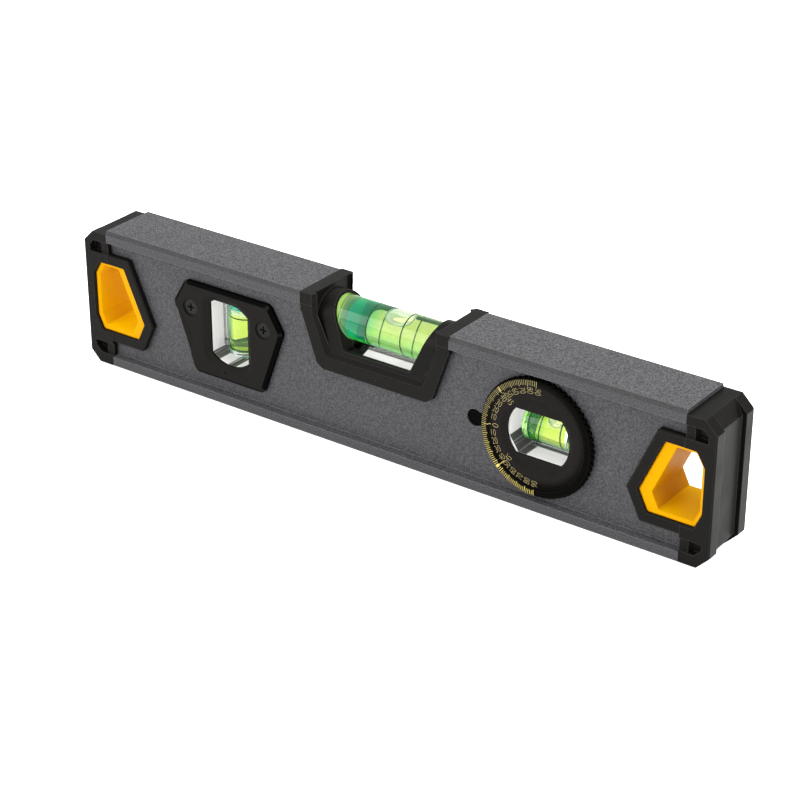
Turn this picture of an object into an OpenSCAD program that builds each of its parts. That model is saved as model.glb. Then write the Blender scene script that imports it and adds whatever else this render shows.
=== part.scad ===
// Pocket spirit level: box-section beam with black end caps, three bubble
// vials (level, plumb and a turning angle dial) and a hanging hole at each end.
// Millimetres. X runs along the level, +Y points to the back, +Z is up.
// The origin is at the middle of the base.

/* [Beam] */
// Overall length over both end caps
level_len = 250; // [240:1:300]
// Height of the beam
beam_h = 52; // [51:0.5:58]
// Thickness over the flanges
beam_t = 22.7; // [22.3:0.1:25]
// Depth of the web below the flange faces
web_recess = 2.5; // [2.4:0.1:2.8]
// Wall thickness of the webs
web_wall = 1.8; // [1.2:0.1:2.2]
// Thickness of the top wall inside the beam
top_wall = 3.6; // [2:0.2:4]
// Thickness of the base wall inside the beam
base_wall = 3.8; // [3:0.2:4.2]
// Height of the top flange face
top_flange_h = 4.4; // [4:0.1:5]
// Height of the bottom flange face
base_flange_h = 3.8; // [3:0.1:4.2]
// Width of the shallow channel between the two base runners
channel_w = 13.6; // [10:0.2:15]
// Depth of the base channel
channel_d = 1; // [0.5:0.1:1.5]

/* [End caps] */
// Length of each end cap past the beam
cap_len = 10.65; // [9:0.05:12]
// Step from the top of the beam down to the cap
cap_top_step = 1.4; // [0.5:0.1:2]
// Step from the base up to the cap
cap_base_step = 0.5; // [0.2:0.1:1]
// Corner bevel of the cap
cap_bevel = 4.3; // [3:0.1:5]
// Depth of the relief between the two bumper strips on the end
relief_d = 1.6; // [0.8:0.1:2]
// Length of the plug that sits inside the beam
plug_len = 12; // [8:0.5:14]

/* [Hanging holes] */
// Distance of the hole from the end face
hole_edge = 3.8; // [3.6:0.1:4.2]
// Width of the hole along the level
hole_w = 22; // [20:0.1:22.6]
// Height of the bottom of the hole above the base
hole_low = 13.5; // [13:0.1:15]
// Height of the hole
hole_h = 25.7; // [23:0.1:26.3]
// Width of the black frame round the hole
frame_w = 3.7; // [3:0.1:4.5]
// Width of the liner's shelf all round the hole
shelf_w = 1.3; // [1:0.1:1.6]
// Extra width of the shelf on the slanted side of the hole
shelf_in = 2.7; // [1:0.1:3.2]
// Depth by which the shelf slopes inwards
shelf_d = 0.5; // [0.2:0.1:1.5]

/* [Vials] */
// Height of the level vial's axis below the top of the beam
level_drop = 9.9; // [9.6:0.1:11]
// Outer radius of the level vial
level_r = 7.15; // [6.5:0.05:7.3]
// Length of the level vial
level_vial_len = 44; // [40:0.5:46]
// Outer radius of the plumb and dial vials
small_r = 6.2; // [5.5:0.1:6.3]
// Length of the plumb vial
plumb_vial_len = 19; // [17.5:0.25:19.5]
// Length of the dial vial
dial_vial_len = 17.5; // [17:0.25:18]
// Wall thickness of every vial
vial_wall = 1.5; // [1.2:0.1:1.8]
// Distance between the two rings of the level vial
level_ring_gap = 13.6; // [11:0.2:16]
// Distance between the two rings of the plumb and dial vials
small_ring_gap = 11.8; // [10:0.2:12]

/* [Level housing] */
// Length of the notch in the top of the beam
notch_len = 59.2; // [58:0.2:64]
// Height of the housing from its bottom edge to the top of the beam
saddle_h = 25.75; // [24.5:0.25:26.5]
// Thickness of the housing's end walls
saddle_wall = 4.8; // [3:0.1:5]
// Length of the sight opening at its lower edge
sight_len = 26.4; // [24:0.2:28]

/* [Plumb window] */
// Distance of the plumb window from the left-hand end
plumb_edge = 63.4; // [60:0.2:65]
// Width of the plumb window
window_w = 16.2; // [15:0.1:17]
// Height of the plumb window
window_h = 23; // [22:0.1:23.1]
// Spacing of the two cover screws
screw_gap = 31.6; // [30:0.2:33]

/* [Angle dial] */
// Distance of the dial's axis from the right-hand end
dial_edge = 62.7; // [60:0.1:65]
// Gap between the notched rim and the top flange
rim_gap = 1.1; // [0.8:0.1:2]
// Outer radius of the hub that turns in the housing
hub_r = 15; // [14.5:0.1:15.5]
// Radius of the dial window
dial_window_r = 11.5; // [11:0.1:11.6]
// Height of the dial window between its two flats
dial_window_h = 15.8; // [15:0.1:16]
// Number of notches round the rim
notch_count = 60; // [36:2:72]

/* [Hidden] */
$fn = 96;

// Colours
grey_paint = [0.37, 0.37, 0.38];
black_plastic = [0.18, 0.18, 0.17];
yellow_plastic = [1, 0.72, 0];
white_plastic = [0.93, 0.93, 0.9];
clear_plastic = [0.86, 0.95, 0.86, 0.5];
green_liquid = [0.75, 0.9, 0.2, 0.8];
steel = [0.55, 0.55, 0.56];
rubber = [0.1, 0.1, 0.1];

// Fits and small gaps
play = 0.15;
lie = 0.05;
run_fit = 0.06;
turn_gap = 0.3;
over = 1;

// Beam section
half_t = beam_t / 2;
web_y = half_t - web_recess;
cavity_y = web_y - web_wall;
cavity_low = base_wall;
cavity_top = beam_h - top_wall;
web_low = base_flange_h + 0.6;
web_top = beam_h - top_flange_h;
base_edge = 0.8;
top_edge_y = 0.75;
top_edge_z = 1.5;
beam_end = level_len / 2 - cap_len;
mid_z = beam_h / 2;

// Outside faces of the pieces that lie on the webs, and the gate marks in them
proud = 2.25;
cover_y = web_y + proud;
gate_r = 0.45;
gate_d = 0.35;

// End cap
cap_low = cap_base_step;
cap_top = beam_h - cap_top_step;
cap_end = level_len / 2;
cap_edge = 0.4;
neck_w = 3;
neck_d = 0.75;
pocket_d = 2.6;
pocket_high = 3.3;
pocket_low = [4, 0.9];
pocket_cut = [2.4, 1.8];
rim_w = 2.8;
relief_shoulder = 0.1;
relief_top = 0.8;

// Hanging hole, seen from the front on the right-hand cap
hole_out = cap_end - hole_edge;
hole_top = hole_low + hole_h;
hole_knee_h = 6.8;
hole_knee = hole_low + hole_knee_h;
hole_top_w = 13.7;
hole_base_w = 18.7;
hole_cut_top = [2.8, 4.7];
hole_cut_low = [2.4, 5.2];
hole_round = 0.8;
mouth_sink = 1.1;
lip = 0.3;
seat_chamfer = 0.35;
arm_edge = 0.4;
arm_round = 1;
hole_pts = [
    [hole_out - hole_top_w, hole_top],
    [hole_out - hole_w, hole_knee],
    [hole_out - hole_base_w, hole_low],
    [hole_out - hole_cut_low[0], hole_low],
    [hole_out, hole_low + hole_cut_low[1]],
    [hole_out, hole_top - hole_cut_top[1]],
    [hole_out - hole_cut_top[0], hole_top]];

// Vials
level_z = beam_h - level_drop;
level_bore = level_r - vial_wall - 0.15;
small_bore = small_r - vial_wall;
end_wall = 1.5;
level_plug = 7.6;
small_plug = 2;
ring_shift = 0.9;
dial_ring_shift = 0.35;
ring_w = 0.4;
ring_t = 0.3;
level_bubble = [3, 11];
level_bubble_x = 1.2;
small_bubble = [2.4, 8];
small_bubble_x = 1.4;
plumb_bubble_h = 2.4;
plumb_foot_half = 2.8;
plumb_foot_len = 15.6;
dial_foot_half = 2;
dial_foot_len = 14;

// Level housing
notch_clear = 0.1;
saddle_half = notch_len / 2 - notch_clear;
trough_half = saddle_half - saddle_wall;
saddle_low = beam_h - saddle_h;
saddle_knee = 7.4;
saddle_slant = 6.9;
saddle_corner = 1.6;
saddle_shoulder = [0.5, 0.8];
saddle_gate = 2.4;
boss_in = 4;
boss_lap = 0.5;
pan_border = 4.7;
pan_slant = 5.2;
pan_slope = [1.2, 1.5];
boss_wall = 1.25;
boss_r = level_r + boss_wall;
lip_y = cover_y - 1.5;
sight_low = level_z - level_r - 0.85;
sight_half = sight_len / 2;
sight_slope = 0.42;
tub_z = sight_low - 1.7;
tub_floor = 1.25;
web_cut_low = tub_z - tub_floor;
web_cut_in = 2.6;
web_cut_slant = 4.6;
foot_half = 3.6;
foot_reach = 16.4;
tub_half = lip_y - 1.6;
reflector_start = -7.5;
reflector_base = 0.6;
reflector_lip = 0.3;
reflector_gap = 0.8;
level_foot = level_z - tub_z - reflector_base;

// Plumb window
plumb_x = plumb_edge - level_len / 2;
plumb_up = 0.3;
plumb_z = mid_z + plumb_up;
carrier_wall = 1.2;
window_round = 11.65;
window_corner = 13;
cover_up = [16.6, 7.3, -16.9];
cover_half = [18.2, 23.7, 15];
cover_round = 2.4;
cover_edge = 1.1;
cover_edge_d = 0.9;
window_bevel = 2.4;
window_lip = 1.6;
scoop_at = [26.8, -5];
scoop_r = 11.7;
scoop_d = 1.3;
gate_at = [1, 13.4];
screw_up = 7;
screw_z = mid_z + screw_up;
head_r = 2.7;
head_rim = 0.3;
head_sink = 0.5;
head_room = 0.35;
shank_r = 1.4;
screw_tip = 0.5;
screw_len = 15;
screw_end = screw_len + head_sink - cover_y;
boss_out = 3;
pilot_r = shank_r + lie;
cross_len = 2.9;
cross_w = 0.7;
cross_d = 0.9;

// Angle dial
dial_x = level_len / 2 - dial_edge;
dial_r = web_top - mid_z - rim_gap;
housing_r = hub_r + 2.4;
lug_r = 2.9;
lug_at = 24;
lug_drop = 0.7;
lug_sink = 0.5;
rim_y = half_t - 0.1;
rim_edge = [0.7, 0.8];
scale_out = dial_r - 0.9;
scale_in = dial_r - 2.8;
scale_rise = 0.3;
number_r = dial_r - 3.2;
number_sink = 0.5;
dish_r = dial_window_r + 1.8;
friction_at = hub_r + 1.25;
friction_r = 0.55;
hub_in = hub_r - 2.3;
tongue_r = hub_r - 1.2;
tongue_len = 2;
notch_r = 0.6;
notch_d = 0.5;
plate_t = 0.9;
drum_half = 11;
drum_wall = 0.9;
drum_cut = [3.4, 5];

// Unit vector along v
function unit(v) = v / norm(v);

// Outward normal of the edge from a to b, for points that run anticlockwise
function edge_normal(a, b) = unit([b[1] - a[1], a[0] - b[0]]);

// Outline p moved outward by d, with sharp corners
function grow(p, d) = let (m = len(p)) [for (i = [0:m - 1])
    let (n1 = edge_normal(p[(i + m - 1) % m], p[i]), n2 = edge_normal(p[i], p[(i + 1) % m]))
    p[i] + (n1 + n2) * d / (1 + n1 * n2)];

// Outline p with every corner rounded to radius r in n steps
function rounded(p, r, n = 4) = let (m = len(p)) [for (i = [0:m - 1])
    let (b = p[i], u = unit(p[(i + m - 1) % m] - b), v = unit(p[(i + 1) % m] - b),
        half = acos(u * v) / 2, c = b + unit(u + v) * r / sin(half),
        d0 = b + u * r / tan(half) - c, d1 = b + v * r / tan(half) - c)
    for (k = [0:n]) c + unit(d0 * (n - k) + d1 * k) * r];

// Outline with its left-hand half mirrored from the right-hand half q
function both_halves(q) = concat(q, [for (i = [len(q) - 1:-1:0]) [-q[i][0], q[i][1]]]);

// Extrude a front view (x, z) from y0 to y1
module slab(y0, y1) {
    translate([0, y1, 0]) rotate([90, 0, 0]) linear_extrude(y1 - y0) children();
}

// Extrude an end view (y, z) from x0 to x1
module bar(x0, x1) {
    translate([x0, 0, 0]) rotate([90, 0, 90]) linear_extrude(x1 - x0) children();
}

// Round rod along Y at (x, z)
module rod_y(x, z, r, y0, y1) {
    translate([x, y1, z]) rotate([90, 0, 0]) cylinder(r = r, h = y1 - y0);
}

// Round rod along X at height z
module rod_x(z, r, x0, x1) {
    translate([x0, 0, z]) rotate([0, 90, 0]) cylinder(r = r, h = x1 - x0);
}

// Child on the right-hand end, or its mirror image on the left-hand end
module at_end(side) {
    if (side > 0) children();
    else mirror([1, 0, 0]) children();
}

// Child and its mirror image on the back
module both_faces() {
    children();
    mirror([0, 1, 0]) children();
}

// Outline of the notch that the level housing drops into
function notch_pts() = let (h = notch_len / 2) both_halves([
    [h - web_cut_in - web_cut_slant, web_cut_low],
    [h - web_cut_in, beam_h - saddle_knee],
    [h - web_cut_in, web_top],
    [h, web_top],
    [h, beam_h + over]]);

// Front view of the plumb window, d larger all round: its upper left corner is the widest
module plumb_shape(d) {
    size = [window_w + 2 * d, window_h + 2 * d];
    translate([plumb_x, plumb_z]) {
        intersection() {
            square(size, center = true);
            circle(window_corner + d);
            union() {
                circle(window_round + d);
                translate([-size[0], 0]) square(size);
            }
        }
    }
}

// Cut for the dial housing with its index lug, d larger all round
module dial_seat(y0, y1, d) {
    rod_y(dial_x, mid_z, housing_r + d, y0, y1);
    rod_y(dial_x - lug_at, mid_z - lug_drop, lug_r + d, y0, y1);
    slab(y0, y1) translate([dial_x - lug_at, mid_z - lug_drop - lug_r * 0.8 - d])
        square([lug_at - housing_r + over, lug_r * 1.6 + 2 * d]);
}

// Hollow box beam with the notch, windows and end slots cut through it
module beam() {
    section = both_halves([
        [channel_w / 2, 0],
        [half_t - base_edge, 0],
        [half_t, base_edge],
        [half_t, base_flange_h],
        [web_y, web_low],
        [web_y, web_top],
        [half_t, web_top],
        [half_t, beam_h - top_edge_z],
        [half_t - top_edge_y, beam_h]]);
    color(grey_paint) difference() {
        bar(-beam_end, beam_end) polygon(section);
        bar(-beam_end - over, beam_end + over) {
            polygon(both_halves([[cavity_y, cavity_low], [cavity_y, cavity_top - 1], [cavity_y - 1, cavity_top]]));
            translate([-channel_w / 2, -over]) square([channel_w, over + channel_d]);
        }
        slab(-half_t - over, half_t + over) polygon(notch_pts());
        slab(-half_t, half_t) plumb_shape(carrier_wall + play);
        for (s = [-1, 1])
            rod_y(plumb_x + s * screw_gap / 2, screw_z, boss_out + play, -half_t, half_t);
        dial_seat(-half_t, half_t, play);
        for (side = [-1, 1]) at_end(side) slab(-half_t, half_t) polygon(end_slot_pts());
    }
}

// Open-ended slot in the webs that the liner of the hanging hole passes through
function end_slot_pts() = let (p = grow(hole_pts, play)) [
    p[0], p[1], p[2], [beam_end + over, p[2][1]], [beam_end + over, p[0][1]]];

// End cap with its plug, its bumper strips and the frame round the hanging hole
module end_cap(side) {
    outline = [
        [beam_end, cap_low],
        [cap_end - cap_bevel, cap_low],
        [cap_end, cap_low + cap_bevel],
        [cap_end, cap_top - cap_bevel],
        [cap_end - cap_bevel, cap_top],
        [beam_end, cap_top]];
    plan = [
        [beam_end, -half_t],
        [cap_end - cap_edge, -half_t],
        [cap_end, cap_edge - half_t],
        [cap_end, half_t - cap_edge],
        [cap_end - cap_edge, half_t],
        [beam_end, half_t]];
    color(black_plastic) at_end(side) difference() {
        union() {
            intersection() {
                slab(-half_t, half_t) polygon(outline);
                linear_extrude(beam_h) polygon(plan);
            }
            both_faces() intersection() {
                hull() {
                    slab(arm_edge - cover_y, -web_y) polygon(rounded(grow(hole_pts, frame_w), arm_round));
                    slab(-cover_y, -web_y) polygon(rounded(grow(hole_pts, frame_w - arm_edge), arm_round));
                }
                slab(-half_t, 0) square([beam_end + neck_w, beam_h]);
            }
            translate([beam_end - plug_len, play - cavity_y, cavity_low + play])
                cube([plug_len + 1, 2 * (cavity_y - play), cavity_top - cavity_low - 2 * play - 1]);
        }
        cap_relief();
        both_faces() cap_pockets();
        slab(-half_t - over, half_t + over) hole_outline(lie);
        both_faces() hull() {
            slab(-half_t - over, -cover_y) hole_outline(seat_chamfer);
            slab(-cover_y, seat_chamfer - cover_y) hole_outline(lie);
        }
    }
}

// Relief between the bumper strips, over the end and both bevels
module cap_relief() {
    half = channel_w / 2;
    shoulder = cap_end - cap_bevel - relief_shoulder;
    slab(-half, half) polygon([
        [shoulder, cap_low - over],
        [shoulder, cap_low],
        [cap_end - relief_d, cap_low + cap_bevel],
        [cap_end - relief_d, cap_top - cap_bevel - relief_top],
        [shoulder, cap_top],
        [shoulder, cap_top + over],
        [cap_end + over, cap_top + over],
        [cap_end + over, cap_low - over]]);
}

// Sunk neck beside the beam and the corner pockets behind the rim
module cap_pockets() {
    inner = beam_end + neck_w;
    outer = cap_end - rim_w;
    high = [hole_top + frame_w, cap_top - pocket_high];
    low = [cap_low + pocket_low[0], hole_low - frame_w - pocket_low[1]];
    for (z = [high, low])
        slab(-half_t - over, neck_d - half_t)
            translate([beam_end - over, z[0]]) square([neck_w + over, z[1] - z[0]]);
    slab(-half_t - over, pocket_d - half_t) {
        polygon([
            [inner, high[0]],
            [outer, high[0]],
            [outer, high[1] - pocket_cut[1]],
            [outer - pocket_cut[1], high[1]],
            [inner, high[1]]]);
        polygon([
            [inner, low[1]],
            [inner, low[0]],
            [outer - pocket_cut[0], low[0]],
            [outer, low[0] + pocket_cut[0]],
            [outer, low[1]]]);
    }
}

// Front view of the hanging hole, d larger all round
module hole_outline(d) {
    polygon(rounded(grow(hole_pts, d), hole_round));
}

// Yellow liner of a hanging hole, with a sloping shelf at each mouth
module hole_liner(side) {
    front = mouth_sink - cover_y;
    throat = front + shelf_d;
    color(yellow_plastic) at_end(side) difference() {
        slab(front, -front) hole_outline(0);
        slab(throat - 0.01, 0.01 - throat) liner_throat();
        both_faces() hull() {
            slab(front - over, front) hole_outline(-lip);
            slab(throat - 0.01, throat) liner_throat();
        }
    }
}

// Front view of the liner's tunnel
module liner_throat() {
    intersection() {
        hole_outline(-shelf_w);
        translate([shelf_in, 0]) hole_outline(-shelf_w);
    }
}

// Black saddle in the notch that holds the level vial in two slanted bosses
module level_housing() {
    side = saddle_half - saddle_shoulder[0];
    face = both_halves([
        [side - saddle_slant - saddle_corner, saddle_low],
        [side - saddle_slant + saddle_corner * 0.6, saddle_low + saddle_corner],
        [side, beam_h - saddle_knee],
        [saddle_half, beam_h - saddle_knee + saddle_shoulder[1]],
        [saddle_half, beam_h]]);
    sight = both_halves([
        [sight_half, sight_low],
        [sight_half + (beam_h + over - sight_low) * sight_slope, beam_h + over]]);
    tomb = both_halves([[lip_y, tub_z], [lip_y, sight_low], [boss_r, level_z]]);
    color(black_plastic) difference() {
        union() {
            difference() {
                union() {
                    both_faces() slab(-cover_y, -web_y) polygon(face);
                    intersection() {
                        slab(-half_t, half_t) polygon(grow(notch_pts(), -notch_clear));
                        slab(-web_y, web_y) translate([-saddle_half, 0]) square([2 * saddle_half, beam_h]);
                    }
                    both_faces() slab(-half_t, -web_y) for (s = [-1, 1])
                        translate([s * (saddle_half - saddle_wall / 2) - saddle_wall / 2, web_top + notch_clear])
                            square([saddle_wall, beam_h - web_top - notch_clear]);
                }
                both_faces() saddle_pan();
                bar(-trough_half, trough_half) translate([-lip_y, sight_low])
                    square([2 * lip_y, beam_h]);
                bar(-trough_half + boss_in, trough_half - boss_in) translate([-tub_half, tub_z])
                    square([2 * tub_half, beam_h]);
            }
            difference() {
                bar(-trough_half - boss_lap, trough_half + boss_lap) {
                    polygon(tomb);
                    translate([0, level_z]) circle(boss_r);
                }
                slab(-half_t, half_t) polygon(sight);
                difference() {
                    bar(-saddle_half, saddle_half) square([beam_t, 2 * beam_h], center = true);
                    slab(-half_t, half_t) polygon(grow(notch_pts(), -notch_clear));
                }
            }
        }
        rod_x(level_z, level_r + play, -level_vial_len / 2 - play, level_vial_len / 2 + play);
        bar(-sight_half, sight_half) translate([-tub_half, tub_z]) square([2 * tub_half, level_z - tub_z]);
        bar(-foot_reach - play, foot_reach + play)
            translate([-foot_half - lie, tub_z]) square([2 * (foot_half + lie), level_z - tub_z]);
        both_faces() rod_y(gate_r, saddle_low + saddle_gate, gate_r, -half_t, gate_d - cover_y);
    }
}

// Sloping recess on a face of the housing, inside its flat border
module saddle_pan() {
    rim = both_halves([
        [trough_half - pan_slant, saddle_low + pan_border],
        [trough_half, beam_h - saddle_knee],
        [trough_half, beam_h + over]]);
    floor_pts = both_halves([
        [trough_half - pan_slant - pan_slope[1], saddle_low + pan_border + pan_slope[1]],
        [trough_half - pan_slope[0], beam_h - saddle_knee],
        [trough_half - pan_slope[0], beam_h + over]]);
    hull() {
        slab(-cover_y - 0.01, -cover_y) polygon(rim);
        slab(-lip_y - 0.01, -lip_y) polygon(floor_pts);
    }
    slab(-cover_y - over, -cover_y) polygon(rim);
}

// White reflector in the tub under the level vial, with a groove for the foot of the vial
module level_reflector() {
    top = level_z - level_r - reflector_gap;
    color(white_plastic) bar(reflector_start, sight_half - play) difference() {
        polygon(both_halves([
            [tub_half - lie, tub_z],
            [tub_half - lie, tub_z + reflector_lip],
            [foot_half + lie, top]]));
        translate([-foot_half - lie, tub_z + reflector_base]) square([2 * (foot_half + lie), top]);
    }
}

// Clear vial body on the X axis with a flat foot, a blind bore and grooves for the rings
module vial(r, bore, length, gap, shift, foot) {
    difference() {
        union() {
            rod_x(0, r, -length / 2, length / 2);
            translate([-foot[0] / 2, -foot[1], -foot[2]]) cube([foot[0], 2 * foot[1], foot[2]]);
        }
        rod_x(0, bore, -length / 2 - over, length / 2 - end_wall);
        for (s = [-1, 1]) ring(r + over, r - ring_t, shift + s * gap / 2, ring_w);
    }
}

// Liquid in the bore between the plug and the end wall, less the hollow of the bubble
module vial_liquid(bore, length, plug) {
    difference() {
        rod_x(0, bore, plug - length / 2, length / 2 - end_wall);
        children();
    }
}

// Long bubble of radius b[0] and length b[1] against the top of a lying bore
module lying_bubble(bore, b, at) {
    translate([at, 0, bore - b[0] * 0.8]) {
        rod_x(0, b[0], b[0] - b[1] / 2, b[1] / 2 - b[0]);
        for (s = [-1, 1]) translate([s * (b[1] / 2 - b[0]), 0, 0]) sphere(b[0]);
    }
}

// Bubble of height h at the plug end of an upright bore, with a round underside
module standing_bubble(bore, end, h) {
    translate([end + h - bore, 0, 0]) sphere(bore);
}

// Pair of sighting rings in the grooves of a vial
module vial_rings(r, gap, shift) {
    for (s = [-1, 1]) ring(r, r - ring_t, shift + s * gap / 2, ring_w);
}

// Flat ring across the X axis
module ring(r_out, r_in, x, w) {
    difference() {
        rod_x(0, r_out, x - w / 2, x + w / 2);
        rod_x(0, r_in, x - w, x + w);
    }
}

// Plug that closes the bore of a vial
module vial_plug(bore, length, plug) {
    rod_x(0, bore, -length / 2, plug - length / 2);
}

// Place of each vial: the plug is at the left, at the top and at the right
module at_level() {
    translate([0, 0, level_z]) children();
}

module at_plumb() {
    translate([plumb_x, 0, plumb_z]) rotate([0, 90, 0]) children();
}

module at_dial() {
    translate([dial_x + dial_ring_shift, 0, mid_z]) rotate([0, 0, 180]) children();
}

// Pieces of the level vial
module level_vial() {
    color(clear_plastic) at_level() vial(level_r, level_bore, level_vial_len, level_ring_gap,
        ring_shift, [2 * foot_reach, foot_half, level_foot]);
}

module level_liquid() {
    color(green_liquid) at_level() vial_liquid(level_bore, level_vial_len, level_plug)
        lying_bubble(level_bore, level_bubble, level_bubble_x);
}

module level_rings() {
    color(rubber) at_level() vial_rings(level_r, level_ring_gap, ring_shift);
}

module level_vial_plug() {
    color(clear_plastic) at_level() vial_plug(level_bore, level_vial_len, level_plug);
}

// Pieces of the plumb vial
module plumb_vial() {
    color(clear_plastic) at_plumb() vial(small_r, small_bore, plumb_vial_len, small_ring_gap,
        ring_shift, [plumb_foot_len, plumb_foot_half, window_w / 2]);
}

module plumb_liquid() {
    color(green_liquid) at_plumb() vial_liquid(small_bore, plumb_vial_len, small_plug)
        standing_bubble(small_bore, small_plug - plumb_vial_len / 2, plumb_bubble_h);
}

module plumb_rings() {
    color(rubber) at_plumb() vial_rings(small_r, small_ring_gap, ring_shift);
}

module plumb_vial_plug() {
    color(clear_plastic) at_plumb() vial_plug(small_bore, plumb_vial_len, small_plug);
}

// Pieces of the dial vial
module dial_vial() {
    color(clear_plastic) at_dial() vial(small_r, small_bore, dial_vial_len, small_ring_gap,
        dial_ring_shift, [dial_foot_len, dial_foot_half, dial_window_h / 2]);
}

module dial_liquid() {
    color(green_liquid) at_dial() vial_liquid(small_bore, dial_vial_len, small_plug)
        lying_bubble(small_bore, small_bubble, -small_bubble_x);
}

module dial_rings() {
    color(rubber) at_dial() vial_rings(small_r, small_ring_gap, dial_ring_shift);
}

module dial_vial_plug() {
    color(clear_plastic) at_dial() vial_plug(small_bore, dial_vial_len, small_plug);
}

// Six-sided cover outline, d smaller all round
module cover_outline(d) {
    pts = both_halves([for (i = [2:-1:0]) [cover_half[i], mid_z + cover_up[i]]]);
    translate([plumb_x, 0]) polygon(rounded(grow(pts, -d), cover_round));
}

// Black cover plate over the plumb window, bevelled towards the glass
module cover_plate() {
    difference() {
        hull() {
            slab(cover_edge_d - cover_y, -web_y) cover_outline(0);
            slab(-cover_y, -web_y) cover_outline(cover_edge);
        }
        slab(-cover_y, -web_y) plumb_shape(0);
        hull() {
            slab(-cover_y - 0.01, -cover_y) plumb_shape(window_bevel);
            slab(-cover_y, window_lip - cover_y) plumb_shape(0);
        }
        rod_y(plumb_x - scoop_at[0], mid_z + scoop_at[1], scoop_r, -half_t, scoop_d - cover_y);
        rod_y(plumb_x - gate_at[0], mid_z - gate_at[1], gate_r, -half_t, gate_d - cover_y);
    }
}

// Front cover with a countersunk hole for each screw
module plumb_front_cover() {
    color(black_plastic) difference() {
        cover_plate();
        at_screws() {
            screw_body(lie);
            translate([0, 0, -beam_t]) cylinder(r = head_r + head_room, h = beam_t);
        }
    }
}

// Rear cover with a boss for each screw that reaches through the beam
module plumb_rear_cover() {
    color(black_plastic) difference() {
        union() {
            mirror([0, 1, 0]) cover_plate();
            for (s = [-1, 1])
                rod_y(plumb_x + s * screw_gap / 2, screw_z, boss_out, -web_y, web_y + lie);
        }
        for (s = [-1, 1])
            rod_y(plumb_x + s * screw_gap / 2, screw_z, pilot_r, -web_y - over, screw_end + 1);
    }
}

// Child at both cover screws, with +Z pointing along the screw into the level
module at_screws() {
    for (s = [-1, 1]) translate([plumb_x + s * screw_gap / 2, head_sink - cover_y, screw_z])
        rotate([-90, 0, 0]) children();
}

// Countersunk screw body, d larger in radius
module screw_body(d) {
    rotate_extrude() polygon([
        [0, 0],
        [head_r + d, 0],
        [head_r + d, head_rim],
        [shank_r + d, head_rim + head_r - shank_r],
        [shank_r + d, screw_len - screw_tip],
        [shank_r - screw_tip + d, screw_len],
        [0, screw_len]]);
}

// Two cross-recessed screws that hold the covers together
module plumb_screws() {
    color(steel) at_screws() difference() {
        screw_body(0);
        for (turn = [0, 90]) rotate(turn)
            cube([cross_len, cross_w, 2 * cross_d], center = true);
    }
}

// White tube that holds the plumb vial between the two covers
module plumb_carrier() {
    color(white_plastic) difference() {
        slab(-web_y, web_y) plumb_shape(carrier_wall);
        slab(-web_y - over, web_y + over) plumb_shape(0);
    }
}

// Bearing ring of the dial, pressed into the webs, with its index lug
module dial_housing() {
    color(black_plastic) difference() {
        union() {
            rod_y(dial_x, mid_z, housing_r, -web_y, web_y);
            intersection() {
                dial_seat(lug_sink - web_y, -cavity_y, 0);
                translate([dial_x - lug_at - lug_r, -half_t, 0]) cube([lug_at, beam_t, beam_h]);
            }
        }
        rod_y(dial_x, mid_z, hub_r + run_fit, -half_t, half_t);
        translate([dial_x, web_y, mid_z]) rotate([90, 0, 0]) rotate_extrude()
            translate([friction_at - friction_r - lie, -over])
                square([2 * (friction_r + lie), over + 2 * friction_r - turn_gap + lie]);
    }
}

// Rubber ring that rubs on the rear bezel and holds the dial at its angle
module dial_friction_ring() {
    color(rubber) translate([dial_x, web_y + turn_gap - friction_r - lie, mid_z]) rotate([90, 0, 0])
        rotate_extrude() translate([friction_at, 0]) circle(friction_r, $fn = 32);
}

// Notched bezel with a dished scale and its hub: joint is the height of its hub end above the middle of the level
module bezel(joint, tongue) {
    under = web_y + turn_gap;
    top = cover_y;
    lip = top - window_lip;
    difference() {
        translate([dial_x, 0, mid_z]) rotate([90, 0, 0]) difference() {
            rotate_extrude() polygon([
                [0, lip],
                [dish_r - window_lip, lip],
                [dish_r, top - number_sink],
                [number_r, top - number_sink],
                [scale_in, top + scale_rise],
                [scale_out, rim_y],
                [dial_r - rim_edge[0], rim_y],
                [dial_r, rim_y - rim_edge[1]],
                [dial_r, under],
                [hub_r, under],
                [hub_r, joint],
                [tongue_r, joint],
                [tongue_r, joint - tongue],
                [hub_in, joint - tongue],
                [hub_in, lip - plate_t],
                [0, lip - plate_t]]);
            for (i = [0:notch_count - 1]) rotate(i * 360 / notch_count)
                translate([dial_r + notch_r - notch_d, 0, under - over])
                    cylinder(r = notch_r, h = half_t, $fn = 24);
        }
        slab(-half_t, 0) dial_window(0);
    }
}

// Front view of the dial window, d larger all round
module dial_window(d) {
    translate([dial_x, mid_z]) intersection() {
        circle(dial_window_r + d);
        square([2 * dial_r, dial_window_h + 2 * d], center = true);
    }
}

// Front half of the dial
module dial_front_bezel() {
    color(black_plastic) bezel(0, tongue_len);
}

// Rear half of the dial, with a seat for the tongue of the front half
module dial_rear_bezel() {
    color(black_plastic) difference() {
        mirror([0, 1, 0]) bezel(0, 0);
        rod_y(dial_x, mid_z, tongue_r + lie, -over, tongue_len + lie);
    }
}

// White drum that holds the dial vial and turns with the bezels
module dial_carrier() {
    end = cover_y - window_lip - plate_t - lie;
    half_h = dial_window_h / 2;
    color(white_plastic) difference() {
        rod_y(dial_x, mid_z, hub_in - lie, -end, end);
        slab(-half_t, half_t) translate([dial_x, mid_z]) intersection() {
            circle(hub_in - drum_wall);
            polygon([
                [-drum_half + drum_cut[0], -half_h],
                [drum_half, -half_h],
                [drum_half, half_h],
                [-drum_half, half_h],
                [-drum_half, drum_cut[1] - half_h]]);
        }
    }
}

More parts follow.
